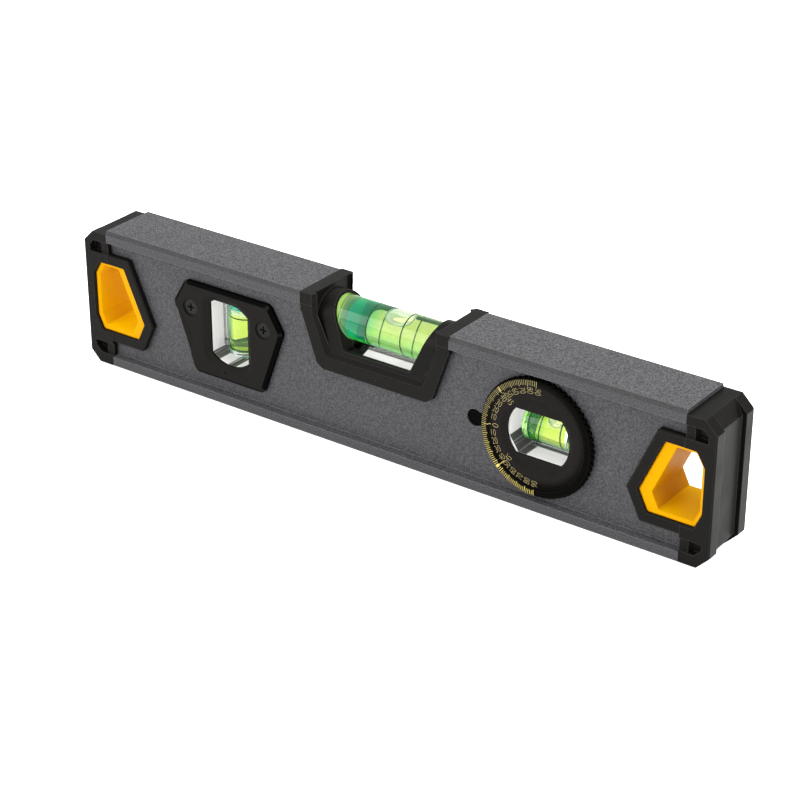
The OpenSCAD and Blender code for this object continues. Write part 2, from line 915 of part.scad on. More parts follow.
beam();
end_cap(-1);  // left_end_cap
end_cap(1);  // right_end_cap
hole_liner(-1);  // left_hole_liner
hole_liner(1);  // right_hole_liner
level_housing();
level_reflector();
level_vial();
level_liquid();
level_rings();
level_vial_plug();
plumb_front_cover();
plumb_rear_cover();
plumb_screws();
plumb_carrier();
plumb_vial();
plumb_liquid();
plumb_rings();
plumb_vial_plug();
dial_housing();
dial_friction_ring();
dial_front_bezel();
dial_rear_bezel();
dial_carrier();
dial_vial();
dial_liquid();
dial_rings();
dial_vial_plug();
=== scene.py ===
"""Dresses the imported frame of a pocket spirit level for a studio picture."""

import logging
import math
from dataclasses import dataclass, fields
from enum import Enum
from typing import Iterable, Sequence

import bmesh
import bpy
from mathutils import Matrix, Vector


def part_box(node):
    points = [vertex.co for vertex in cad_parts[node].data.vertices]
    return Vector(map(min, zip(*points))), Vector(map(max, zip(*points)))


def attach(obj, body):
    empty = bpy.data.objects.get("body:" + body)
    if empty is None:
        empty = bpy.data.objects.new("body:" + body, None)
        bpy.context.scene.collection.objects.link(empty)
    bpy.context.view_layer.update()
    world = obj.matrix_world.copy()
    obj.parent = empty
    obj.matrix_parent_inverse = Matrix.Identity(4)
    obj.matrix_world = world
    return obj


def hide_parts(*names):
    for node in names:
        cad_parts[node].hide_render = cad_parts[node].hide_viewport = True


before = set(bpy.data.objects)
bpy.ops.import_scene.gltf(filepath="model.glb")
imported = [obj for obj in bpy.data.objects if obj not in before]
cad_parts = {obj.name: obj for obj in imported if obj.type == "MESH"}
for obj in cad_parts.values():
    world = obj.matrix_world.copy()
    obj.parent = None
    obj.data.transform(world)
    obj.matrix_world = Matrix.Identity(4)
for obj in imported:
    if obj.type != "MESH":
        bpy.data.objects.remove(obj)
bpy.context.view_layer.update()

LOG = logging.getLogger("spirit_level")
MM = 0.001
FOOT_ROOM = 0.02 * MM
MOST_VERTS = 10_000

Pair = tuple[float, float]
Triple = tuple[float, float, float]
Quad = tuple[float, float, float, float]
Names = tuple[str, ...]
Colour = Triple
Screen = tuple[int, int, int]
Socket = bpy.types.NodeSocket
Groups = dict[str, bpy.types.NodeTree]

# Colour sockets of a Mix node
MIX_FACTOR, MIX_A, MIX_B, MIX_RESULT = 0, 6, 7, 2

# Values between which a mask goes from 0 to 1
EDGE_COSINES = (0.995, 0.8)
STREAK_NOISE = (0.52, 0.62)
SPECK_NOISE = (0.38, 0.62)
SCUFF_NOISE = (0.45, 0.8)
ROUGH_NOISE = (0.3, 0.7)

# How much of a painted shade a painted reflection streak takes away
STREAK_LOSS = 0.55

# Share of the slow patches in the height of the grain
PATCH_HEIGHT = 0.4

# Factors on the tint and the painted glow of a clear finish in its slow patches
TINT_DIP, GLOW_DIP = 0.98, 0.9


class Body(Enum):
    """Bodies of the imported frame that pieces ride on."""

    LEVEL = "level"
    DIAL = "dial"


class Slot(Enum):
    """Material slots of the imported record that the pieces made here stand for."""

    BLACK = "black_plastic"
    CLEAR = "clear_plastic"
    LIQUID = "green_liquid"


# Node trees


class Tree:
    """Small helper that adds and links shader nodes."""

    def __init__(self, tree: bpy.types.NodeTree) -> None:
        """Keep the node tree to fill."""
        self.tree = tree

    def add(self, kind: str, inputs: dict | None = None, **props: object) -> bpy.types.Node:
        """Add one node.

        Args:
            kind: Node type without its ShaderNode prefix.
            inputs: Socket names or numbers with their values or source sockets.
            **props: Properties of the node.

        Returns:
            The new node.
        """
        node = self.tree.nodes.new(kind if kind.startswith("NodeGroup") else "ShaderNode" + kind)
        for name, value in props.items():
            setattr(node, name, value)
        for name, value in (inputs or {}).items():
            socket = node.inputs[name]
            if isinstance(value, Socket):
                self.tree.links.new(value, socket)
            else:
                socket.default_value = value
        return node

    def math(self, operation: str, *values: object) -> Socket:
        """Add a Math node with these numbers or sockets and give its result."""
        return self.add("Math", dict(enumerate(values)), operation=operation).outputs[0]

    def ramp(self, value: Socket, low: object, high: object) -> Socket:
        """Map a value smoothly from low..high, which are numbers or sockets, to 0..1."""
        inputs = {"Value": value, "From Min": low, "From Max": high}
        return self.add("MapRange", inputs, interpolation_type="SMOOTHSTEP").outputs[0]

    def link(self, node: bpy.types.Node, sources: dict[str, Socket]) -> bpy.types.NodeTree:
        """Link sources, by the name of the input, to a node and give the whole tree."""
        for name, source in sources.items():
            self.tree.links.new(source, node.inputs[name])
        return self.tree

    def place(self) -> Socket:
        """Give the place on the piece."""
        return self.add("TexCoord").outputs["Object"]

    def mix(self, factor: object, a: object, b: object) -> Socket:
        """Mix colours or sockets, from a at factor 0 to b at factor 1."""
        inputs = {MIX_FACTOR: factor, MIX_A: a, MIX_B: b}
        return self.add("Mix", inputs, data_type="RGBA").outputs[MIX_RESULT]


def rgba(colour: Colour, factor: float = 1.0) -> Quad:
    """Colour times a factor, with full alpha."""
    return (*(value * factor for value in colour), 1.0)


def screen(colour: Screen, factor: float = 1.0) -> Quad:
    """Turn a screen colour of 0 to 255 into the linear colour that Blender uses.

    Args:
        colour: The colour on the screen.
        factor: Factor on the linear colour.

    Returns:
        The linear colour with full alpha.
    """
    shares = (value / 255 for value in colour)
    linear = tuple(c / 12.92 if c < 0.04045 else ((c + 0.055) / 1.055) ** 2.4 for c in shares)
    return rgba(linear, factor)


def new_group(
    name: str, inputs: dict[str, float], outputs: dict[str, str]
) -> tuple[Tree, bpy.types.Node, bpy.types.Node]:
    """Start a shader node group.

    Args:
        name: Name of the group.
        inputs: Float inputs with their defaults.
        outputs: Output names with their socket kinds.

    Returns:
        The tree, its input node and its output node.
    """
    group = bpy.data.node_groups.new(name, "ShaderNodeTree")
    for label, value in inputs.items():
        socket = group.interface.new_socket(label, in_out="INPUT", socket_type="NodeSocketFloat")
        socket.default_value = value
    for label, kind in outputs.items():
        group.interface.new_socket(label, in_out="OUTPUT", socket_type="NodeSocket" + kind)
    tree = Tree(group)
    return tree, tree.add("NodeGroupInput"), tree.add("NodeGroupOutput")


def edge_group() -> bpy.types.NodeTree:
    """Build the group that rounds the sharp edges of a surface and finds them.

    Returns:
        The group, with a rounded Normal and an edge Mask.
    """
    outputs = {"Normal": "Vector", "Mask": "Float"}
    tree, given, out = new_group("rounded_edges", {"Radius": 0.0004}, outputs)
    bevel = tree.add("Bevel", {"Radius": given.outputs["Radius"]}, samples=6)
    plain = tree.add("NewGeometry").outputs["Normal"]
    turn = tree.add("VectorMath", {0: bevel.outputs[0], 1: plain}, operation="DOT_PRODUCT")
    mask = tree.ramp(turn.outputs["Value"], *EDGE_COSINES)
    return tree.link(out, {"Normal": bevel.outputs[0], "Mask": mask})


def grain_group() -> bpy.types.NodeTree:
    """Build the group for fine moulded or sprayed grain with slow patches.

    Returns:
        The group, with a fine Grain, a slow Patch value and their Height.
    """
    scales = {"Grain Scale": 4000.0, "Patch Scale": 60.0}
    outputs = {"Grain": "Float", "Patch": "Float", "Height": "Float"}
    tree, given, out = new_group("surface_grain", scales, outputs)
    place = tree.place()
    noises = []
    for label, detail, rough in (("Grain Scale", 3.0, 0.6), ("Patch Scale", 4.0, 0.55)):
        inputs = {"Vector": place, "Scale": given.outputs[label]}
        inputs.update(Detail=detail, Roughness=rough)
        noises.append(tree.add("TexNoise", inputs).outputs[0])
    fine, slow = noises
    height = tree.math("ADD", fine, tree.math("MULTIPLY", slow, PATCH_HEIGHT))
    return tree.link(out, {"Grain": fine, "Patch": slow, "Height": height})


def facing_group() -> bpy.types.NodeTree:
    """Build the group that finds faces pointing one way, alike on the front and the back.

    Returns:
        The group, with a Mask.
    """
    inputs = {"X": 0.0, "Y": 0.0, "Z": 1.0, "Low": 0.95, "High": 0.98}
    tree, given, out = new_group("faces_pointing", inputs, {"Mask": "Float"})
    parts = tree.add("SeparateXYZ", {0: tree.add("TexCoord").outputs["Normal"]})
    depth = tree.math("ABSOLUTE", parts.outputs["Y"])
    along = tree.math("MULTIPLY", parts.outputs["X"], given.outputs["X"])
    along = tree.math("MULTIPLY_ADD", depth, given.outputs["Y"], along)
    along = tree.math("MULTIPLY_ADD", parts.outputs["Z"], given.outputs["Z"], along)
    mask = tree.ramp(along, given.outputs["Low"], given.outputs["High"])
    return tree.link(out, {"Mask": mask})


def streak_group() -> bpy.types.NodeTree:
    """Build the group for painted reflection streaks that run from the front to the back.

    Returns:
        The group, with a Mask.
    """
    tree, given, out = new_group("depth_streaks", {"Scale": 900.0}, {"Mask": "Float"})
    flat = tree.add("VectorMath", {0: tree.place(), 1: (1.0, 0.02, 1.0)}, operation="MULTIPLY")
    inputs = {"Vector": flat.outputs[0], "Scale": given.outputs["Scale"], "Detail": 1.0}
    mask = tree.ramp(tree.add("TexNoise", inputs).outputs[0], *STREAK_NOISE)
    return tree.link(out, {"Mask": mask})


def material_of(name: str) -> tuple[bpy.types.Material, Tree, bpy.types.Node]:
    """Start a node material.

    Args:
        name: Name of the material.

    Returns:
        The material, its tree and its output node.
    """
    material = bpy.data.materials.new(name)
    material.use_nodes = True
    material.node_tree.nodes.clear()
    tree = Tree(material.node_tree)
    return material, tree, tree.add("OutputMaterial")


@dataclass(frozen=True)
class Shade:
    """Painted light and shade: another colour on the faces that point one way.

    Attributes:
        way: Direction, with Y taken as positive on both sides.
        reach: Cosines where the colour starts and where it is whole.
        colour: The screen colour there.
        share: How much of it shows.
        streaks: Whether painted reflection streaks cross it.
        limit: X where the colour has gone and X where it is whole, or None.
        around: X and Z of a middle with the radii where the colour has gone and is whole, or None.
        spread: How far the grain moves the colour.
    """

    way: Triple
    reach: Pair
    colour: Screen
    share: float = 1.0
    streaks: bool = False
    limit: Pair | None = None
    around: Quad | None = None
    spread: float = 0.18

    def share_of(self, tree: Tree, groups: Groups) -> Socket:
        """Find how much of the colour shows.

        Args:
            tree: Tree of the material.
            groups: Shared node groups by name.

        Returns:
            The socket with the share.
        """
        facing = tree.add("Group", node_tree=groups["facing"])
        for axis, value in zip("XYZ", self.way):
            facing.inputs[axis].default_value = value
        facing.inputs["Low"].default_value, facing.inputs["High"].default_value = self.reach
        share = tree.math("MULTIPLY", facing.outputs[0], self.share)
        if self.streaks:
            streaks = tree.add("Group", node_tree=groups["streaks"])
            left = tree.math("MULTIPLY_ADD", streaks.outputs[0], -STREAK_LOSS, 1.0)
            share = tree.math("MULTIPLY", share, left)
        if self.limit:
            place = tree.add("SeparateXYZ", {0: tree.place()})
            share = tree.math("MULTIPLY", share, tree.ramp(place.outputs["X"], *self.limit))
        if self.around:
            x, z, gone, whole = self.around
            across = {0: tree.place(), 1: (1.0, 0.0, 1.0)}
            flat = tree.add("VectorMath", across, operation="MULTIPLY").outputs[0]
            reach = tree.add("VectorMath", {0: flat, 1: (x, 0.0, z)}, operation="DISTANCE")
            share = tree.math("MULTIPLY", share, tree.ramp(reach.outputs["Value"], gone, whole))
        return share


@dataclass(frozen=True)
class Surface:
    """Opaque finish with fine grain, slow patches and painted highlights along its edges.

    Attributes:
        name: Name of the material.
        dark: Screen colour in the low parts of the grain.
        light: Screen colour in the high parts of the grain.
        edge: Screen colour of the painted highlight along edges.
        edge_share: How much of the edge colour shows.
        rough: Lowest and highest roughness.
        grain_scale: Cells of grain per metre.
        patch_scale: Cells of slow patches per metre.
        bump: Height of the grain in metres.
        edge_radius: Radius that sharp edges seem to have.
        specular: Specular level.
        metallic: Metallic share.
        shades: Painted light and shade on faces that point one way.
    """

    name: str
    dark: Screen
    light: Screen
    edge: Screen = (0, 0, 0)
    edge_share: float = 0.0
    rough: Pair = (0.4, 0.6)
    grain_scale: float = 5000.0
    patch_scale: float = 80.0
    bump: float = 0.00002
    edge_radius: float = 0.0004
    specular: float = 0.5
    metallic: float = 0.0
    shades: tuple[Shade, ...] = ()

    def build(self, groups: Groups) -> bpy.types.Material:
        """Make the material.

        Args:
            groups: Shared node groups by name.

        Returns:
            The material.
        """
        material, tree, out = material_of(self.name)
        grain = tree.add("Group", node_tree=groups["grain"])
        grain.inputs["Grain Scale"].default_value = self.grain_scale
        grain.inputs["Patch Scale"].default_value = self.patch_scale
        edges = tree.add("Group", node_tree=groups["edges"])
        edges.inputs["Radius"].default_value = self.edge_radius
        speck = tree.ramp(grain.outputs["Grain"], *SPECK_NOISE)
        colour = tree.mix(speck, screen(self.dark), screen(self.light))
        # Painted light and shade on the faces that each shade picks
        for shade in self.shades:
            low, high = (screen(shade.colour, 1.0 + side * shade.spread) for side in (-1, 1))
            tone = tree.mix(speck, low, high)
            colour = tree.mix(shade.share_of(tree, groups), colour, tone)
        # Painted highlight: the edge colour lightens the rounded edges
        edge_highlight = tree.math("MULTIPLY", edges.outputs["Mask"], self.edge_share)
        colour = tree.mix(edge_highlight, colour, screen(self.edge))
        labels = ("From Min", "From Max", "To Min", "To Max")
        span = dict(zip(labels, (*ROUGH_NOISE, *self.rough)))
        rough = tree.add("MapRange", {"Value": grain.outputs["Patch"], **span}).outputs[0]
        height = {"Height": grain.outputs["Height"], "Normal": edges.outputs["Normal"]}
        bump = tree.add("Bump", {"Strength": 1.0, "Distance": self.bump, **height}).outputs[0]
        inputs = {"Base Color": colour, "Roughness": rough, "Normal": bump}
        shader = tree.add("BsdfPrincipled", inputs)
        shader.inputs["Specular IOR Level"].default_value = self.specular
        shader.inputs["Metallic"].default_value = self.metallic
        tree.link(out, {"Surface": shader.outputs[0]})
        return material


@dataclass(frozen=True)
class Zone:
    """Painted shade along one axis of a vial, with a darker tint and a painted glow.

    Attributes:
        axis: Axis of the zone, X, Y or Z.
        full: Place where the deep colour is whole.
        none: Place where it has gone.
        tint: Colour of the light that passes there.
        glow: Colour of the painted glow there.
    """

    axis: str
    full: float
    none: float
    tint: Colour
    glow: Colour


@dataclass(frozen=True)
class Glass:
    """Clear finish, with an optional tint inside, a painted glow and painted shade along a vial.

    Attributes:
        name: Name of the material.
        ior: Index of refraction, relative to what lies outside the surface.
        tint: Colour of the light that passes.
        absorb: Colour that stays after one unit of depth, or None for clear.
        density: Density of the absorption per metre.
        glow: Painted glow, light that the finish gives out though it is no lamp.
        scratch: Roughness where the surface is scuffed.
        bump: Height of its slow waves in metres.
        edge: Tint of the light that passes near the outline, or None.
        edge_reach: Layer weights where the edge tint starts and where it is whole.
        zones: Painted shade along the vial.
    """

    name: str
    ior: float
    tint: Colour = (1.0, 1.0, 1.0)
    absorb: Colour | None = None
    density: float = 0.0
    glow: Colour = (0.0, 0.0, 0.0)
    scratch: float = 0.02
    bump: float = 0.000002
    edge: Colour | None = None
    edge_reach: Pair = (0.5, 0.9)
    zones: tuple[Zone, ...] = ()

    def build(self, groups: Groups) -> bpy.types.Material:
        """Make the material.

        Args:
            groups: Shared node groups by name.

        Returns:
            The material.
        """
        material, tree, out = material_of(self.name)
        patch = tree.add("Group", node_tree=groups["grain"]).outputs["Patch"]
        scuff = tree.math("MULTIPLY", tree.ramp(patch, *SCUFF_NOISE), self.scratch)
        waves = {"Strength": 1.0, "Distance": self.bump, "Height": patch}
        bump = tree.add("Bump", waves).outputs[0]
        colour = tree.mix(patch, rgba(self.tint), rgba(self.tint, TINT_DIP))
        glow = tree.mix(patch, rgba(self.glow), rgba(self.glow, GLOW_DIP))
        if self.edge is not None:
            slant = tree.add("LayerWeight", {"Blend": 0.5}).outputs["Facing"]
            colour = tree.mix(tree.ramp(slant, *self.edge_reach), colour, rgba(self.edge))
        # Painted shade: each zone darkens the tint along the vial
        for zone in self.zones:
            place = tree.add("SeparateXYZ", {0: tree.place()})
            share = tree.ramp(place.outputs[zone.axis], zone.none, zone.full)
            colour = tree.mix(share, colour, rgba(zone.tint))
            glow = tree.mix(share, glow, rgba(zone.glow))
        inputs = {"Base Color": colour, "Roughness": scuff, "Normal": bump, "Emission Color": glow}
        shader = tree.add("BsdfPrincipled", inputs)
        shader.inputs["Transmission Weight"].default_value = 1.0
        shader.inputs["IOR"].default_value = self.ior
        # Painted glow: the finish gives out light though it is no lamp
        glows = any(self.glow) or bool(self.zones)
        shader.inputs["Emission Strength"].default_value = 1.0 if glows else 0.0
        tree.link(out, {"Surface": shader.outputs[0]})
        if self.absorb is not None:
            inputs = {"Color": rgba(self.absorb), "Density": self.density}
            tree.link(out, {"Volume": tree.add("VolumeAbsorption", inputs).outputs[0]})
        return material


# Directions of shades: up, the front and the back, and all that lies across them
UP = (0.0, 0.0, 1.0)
FACES = (0.0, 1.0, 0.0)
WALLS = (0.0, -1.0, 0.0)

# What the pale plastics, the inks of the dial and the small vials' liquids share, with the liquids'
# painted glow
PALE = {
    "dark": (236, 236, 234), "light": (244, 244, 242), "edge": (250, 250, 250), "edge_share": 0.2,
    "rough": (0.3, 0.45), "bump": 0.000005, "edge_radius": 0.0003, "specular": 0.3,
}
INK = {
    "rough": (0.45, 0.6), "grain_scale": 9000.0, "patch_scale": 60.0, "bump": 0.000003,
    "edge_radius": 0.00003, "specular": 0.05,
}
DYE_AND_GLOW = {
    "ior": 0.94, "tint": (0.98, 1.0, 0.9), "absorb": (0.74, 0.82, 0.02), "density": 280.0,
    "glow": (0.0, 0.045, 0.012),
}

FINISHES: dict[str, Surface | Glass] = {
    "paint": Surface(
        "powder_coat", dark=(56, 55, 57), light=(82, 81, 84), edge=(176, 175, 177), edge_share=0.55,
        rough=(0.42, 0.6), grain_scale=2200.0, patch_scale=40.0, bump=0.00003, edge_radius=0.00025,
        specular=0.25,
        shades=(
            # Painted shade: the top bevels of the beam are darker
            Shade(way=(0.0, 0.707, 0.707), reach=(0.9, 0.96), colour=(52, 52, 53), share=0.85),
            # Painted light: the top face of the beam is lighter, with stronger grain
            Shade(way=UP, reach=(0.96, 0.99), colour=(80, 79, 81), share=0.9, spread=0.6),
        ),
    ),
    "black": Surface(
        "moulded_black", dark=(16, 15, 13), light=(21, 20, 18), edge=(96, 94, 90), edge_share=0.4,
        rough=(0.28, 0.46), bump=0.000012, specular=0.09,
        shades=(
            # Painted light: the end face of the right cap is lighter
            Shade(way=(1.0, 0.0, 0.0), reach=(0.97, 0.99), colour=(38, 38, 35), limit=(0.11, 0.12)),
        ),
    ),
    "cover": Surface(
        "cover_black", dark=(29, 28, 26), light=(34, 33, 31), edge=(52, 50, 47), edge_share=0.3,
        rough=(0.28, 0.46), bump=0.000012, specular=0.02,
        # Painted shade: the chamfers and side walls of the covers are nearly black
        shades=(Shade(way=WALLS, reach=(-0.81, -0.79), colour=(2, 2, 2), share=0.95),),
    ),
    "bezel": Surface(
        "bezel_black", dark=(30, 28, 27), light=(35, 33, 31), edge=(56, 54, 50), edge_share=0.35,
        rough=(0.3, 0.45), bump=0.00001, edge_radius=0.0005, specular=0.02,
        shades=(
            # Painted shade: a near-black ring on the outer part of the bezel
            Shade(
                way=FACES, reach=(-0.2, 0.0), colour=(3, 3, 2), share=0.95,
                around=(0.0623, 0.0275, 0.0154, 0.0186),
            ),
        ),
    ),
    "housing": Surface(
        "housing_black", dark=(3, 3, 3), light=(6, 5, 5), edge=(20, 19, 18), edge_share=0.3,
        bump=0.00001, edge_radius=0.0003, specular=0.02,
    ),
    "yellow": Surface(
        "moulded_yellow", dark=(228, 160, 0), light=(233, 166, 0), edge=(250, 196, 10),
        edge_share=0.3, rough=(0.35, 0.5), bump=0.000008, edge_radius=0.0005, specular=0.03,
        shades=(
            # Painted light and shade in the hole liners: the walls and the lit floors get their own
            # tones
            Shade(way=WALLS, reach=(-0.6, -0.2), colour=(232, 174, 0), share=0.9, spread=0.05),
            Shade(way=UP, reach=(0.5, 0.9), colour=(252, 206, 0), spread=0.05),
            # Painted shade: the walls and floors of the right-hand liner are darker
            Shade(
                way=WALLS, reach=(-0.6, -0.2), colour=(200, 138, 0), share=0.9, limit=(0.0, 0.05),
                spread=0.05,
            ),
            Shade(way=UP, reach=(0.5, 0.9), colour=(236, 184, 0), limit=(0.0, 0.05), spread=0.05),
        ),
    ),
    "white": Surface(
        "moulded_white", dark=(206, 206, 202), light=(214, 214, 210), edge=(246, 246, 246),
        edge_share=0.2, rough=(0.3, 0.45), bump=0.000005, edge_radius=0.0003, specular=0.3,
    ),
    "dial_white": Surface(
        "drum_white", **PALE,
        shades=(
            # Painted shadow in the lower left corner of the drum and on its floor left of the vial,
            # crossed by painted reflection streaks
            Shade(way=(0.826, 0.0, 0.562), reach=(0.97, 0.985), colour=(70, 70, 70), streaks=True),
            Shade(
                way=UP, reach=(0.97, 0.985), colour=(70, 70, 70), streaks=True,
                limit=(0.0580, 0.0572),
            ),
        ),
    ),
    "plumb_white": Surface(
        "tube_white", **PALE,
        shades=(
            # Painted shadow on the lower part of the carrier's left wall and painted shade at its
            # bottom, crossed by painted reflection streaks
            Shade(way=(0.69, 0.0, 0.73), reach=(0.955, 0.965), colour=(90, 90, 86), streaks=True),
            Shade(way=(0.03, 0.0, 1.0), reach=(0.991, 0.995), colour=(60, 66, 50), streaks=True),
        ),
    ),
    "steel": Surface(
        "black_oxide_steel", dark=(20, 20, 19), light=(30, 29, 28), edge=(84, 82, 76),
        edge_share=0.4, rough=(0.3, 0.5), grain_scale=6000.0, patch_scale=200.0, bump=0.00001,
        edge_radius=0.00015, specular=0.2, metallic=0.2,
    ),
    "rubber": Surface(
        "seal_rubber", dark=(24, 24, 24), light=(32, 32, 32), edge=(40, 40, 40), edge_share=0.1,
        rough=(0.6, 0.8), grain_scale=4000.0, patch_scale=60.0,
    ),
    "ring": Surface(
        "ring_ink", dark=(10, 40, 14), light=(16, 52, 20), rough=(0.4, 0.5), grain_scale=8000.0,
        patch_scale=60.0, bump=0.000002, edge_radius=0.00005,
    ),
    "print": Surface(
        "scale_ink", **INK, dark=(222, 202, 110), light=(240, 221, 130),
        shades=(
            # Painted shade: the scale lines dim towards the top of the dial
            Shade(
                way=FACES, reach=(-0.2, 0.0), colour=(142, 133, 100), share=0.8,
                around=(0.0623, 0.0061, 0.018, 0.032),
            ),
        ),
    ),
    "number_print": Surface("number_ink", **INK, dark=(182, 166, 112), light=(200, 184, 130)),
    "level_glass": Glass(
        "level_acrylic", ior=1.49, tint=(0.97, 0.99, 0.94), edge=(0.55, 0.85, 0.5),
    ),
    "plumb_glass": Glass(
        "plumb_acrylic", ior=1.49, tint=(0.97, 0.99, 0.96), edge=(0.04, 0.3, 0.14),
        edge_reach=(0.38, 0.62),
    ),
    "dial_glass": Glass(
        "dial_acrylic", ior=1.49, tint=(0.97, 0.99, 0.96), edge=(0.06, 0.34, 0.16),
        edge_reach=(0.42, 0.7),
    ),
    # Painted shade: the dark base of each vial's foot
    "foot": Glass("foot_painted_shade", ior=1.49, tint=(0.05, 0.06, 0.05)),
    # Painted glow: the plug gives out light
    "level_plug": Glass(
        "level_plug", ior=1.02, tint=(0.84, 0.92, 0.64), glow=(0.11, 0.17, 0.04),
        # Painted shade: a darker teal over the inner part of the plug
        zones=(
            Zone(
                axis="X", full=-0.0148, none=-0.0185, tint=(0.12, 0.5, 0.42),
                glow=(0.0, 0.12, 0.08),
            ),
        ),
    ),
    # Painted glow in the two small plugs
    "plumb_plug": Glass("plumb_plug", ior=1.02, tint=(0.25, 0.6, 0.5), glow=(0.0, 0.05, 0.035)),
    "dial_plug": Glass("dial_plug", ior=1.02, tint=(0.66, 0.84, 0.5), glow=(0.02, 0.05, 0.01)),
    # Painted highlight: the bubble glows whitish
    "bubble": Glass("bubble_skin", ior=1.4, glow=(0.33, 0.34, 0.3)),
    # Painted glow in the liquid
    "level_spirit": Glass(
        "level_spirit", ior=0.94, tint=(0.72, 0.74, 0.62), absorb=(0.76, 0.84, 0.3), density=190.0,
        glow=(0.0, 0.05, 0.015),
        # Painted shade: darker teal towards the left end and darker green low in the liquid
        zones=(
            Zone(
                axis="X", full=-0.0110, none=-0.0035, tint=(0.08, 0.46, 0.4), glow=(0.0, 0.15, 0.1),
            ),
            Zone(axis="Z", full=0.0376, none=0.0392, tint=(0.3, 0.7, 0.35), glow=(0.0, 0.09, 0.03)),
        ),
    ),
    "plumb_spirit": Glass(
        "plumb_spirit", **DYE_AND_GLOW,
        # Painted shade: darker teal in the upper end of the liquid
        zones=(
            Zone(
                axis="Z", full=0.0342, none=0.0326, tint=(0.2, 0.62, 0.55), glow=(0.0, 0.08, 0.06),
            ),
        ),
    ),
    "dial_spirit": Glass(
        "dial_spirit", **DYE_AND_GLOW,
        # Painted shade: darker green at the left end of the liquid
        zones=(
            Zone(
                axis="X", full=0.0570, none=0.0595, tint=(0.36, 0.68, 0.35), glow=(0.0, 0.05, 0.02),
            ),
        ),
    ),
}


class Finishes:
    """Builds each finish once."""

    def __init__(self) -> None:
        """Build the shared node groups and start with no materials."""
        self.groups = {
            "edges": edge_group(),
            "grain": grain_group(),
            "facing": facing_group(),
            "streaks": streak_group(),
        }
        self.made: dict[str, bpy.types.Material] = {}

    def get(self, name: str) -> bpy.types.Material:
        """Give the material of a finish, which is a key of FINISHES."""
        if name not in self.made:
            self.made[name] = FINISHES[name].build(self.groups)
        return self.made[name]

    def dress(self, nodes: Iterable[str], name: str) -> None:
        """Put a finish on nodes of the frame.

        Args:
            nodes: Names of the nodes.
            name: Key of FINISHES.
        """
        for node in nodes:
            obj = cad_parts[node]
            if not obj.material_slots:
                obj.data.materials.append(None)
            for slot in obj.material_slots:
                slot.material = self.get(name)
            LOG.info("%s dressed in %s", node, name)


# Meshes


def mesh_object(
    name: str,
    bm: bmesh.types.BMesh,
    body: Body,
    slot: Slot,
    materials: Sequence[bpy.types.Material],
) -> bpy.types.Object:
    """Turn a bmesh into a piece that rides on a body.

    Args:
        name: Name of the piece.
        bm: Its mesh, freed here.
        body: Body that it rides on.
        slot: Material slot that it stands for; not used.
        materials: Its materials in order.

    Returns:
        The new object.
    """
    mesh = bpy.data.meshes.new(name)
    bm.to_mesh(mesh)
    bm.free()
    for material in materials:
        mesh.materials.append(material)
    obj = bpy.data.objects.new(name, mesh)
    bpy.context.scene.collection.objects.link(obj)
    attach(obj, body.value)
    LOG.info("%s built with %d faces", name, len(mesh.polygons))
    return obj


def tube_mesh(
    bm: bmesh.types.BMesh, radius: float, start: float, end: float, chamfer: float, sides: int = 128
) -> None:
    """Add a closed rod along X with chamfered ends.

    Args:
        bm: Mesh to add to.
        radius: Radius of the rod.
        start: Lower X.
        end: Higher X.
        chamfer: Size of the end chamfers.
        sides: Sides of the rod.
    """
    small = radius - chamfer
    stations = ((start, small), (start + chamfer, radius), (end - chamfer, radius), (end, small))
    rings = []
    for x, r in stations:
        angles = (math.tau * i / sides for i in range(sides))
        rings.append([bm.verts.new((x, r * math.cos(a), r * math.sin(a))) for a in angles])
    bm.faces.new(list(reversed(rings[0])))
    bm.faces.new(rings[-1])
    for low, high in zip(rings, rings[1:]):
        for i in range(sides):
            j = (i + 1) % sides
            bm.faces.new((low[i], low[j], high[j], high[i])).smooth = True


def face_rank(face: bmesh.types.BMFace) -> int:
    """Place in a fixed order for a face of a mesh with fewer than MOST_VERTS vertices."""
    low, second, *_, high = sorted(vert.index for vert in face.verts)
    return (low * MOST_VERTS + second) * MOST_VERTS + high


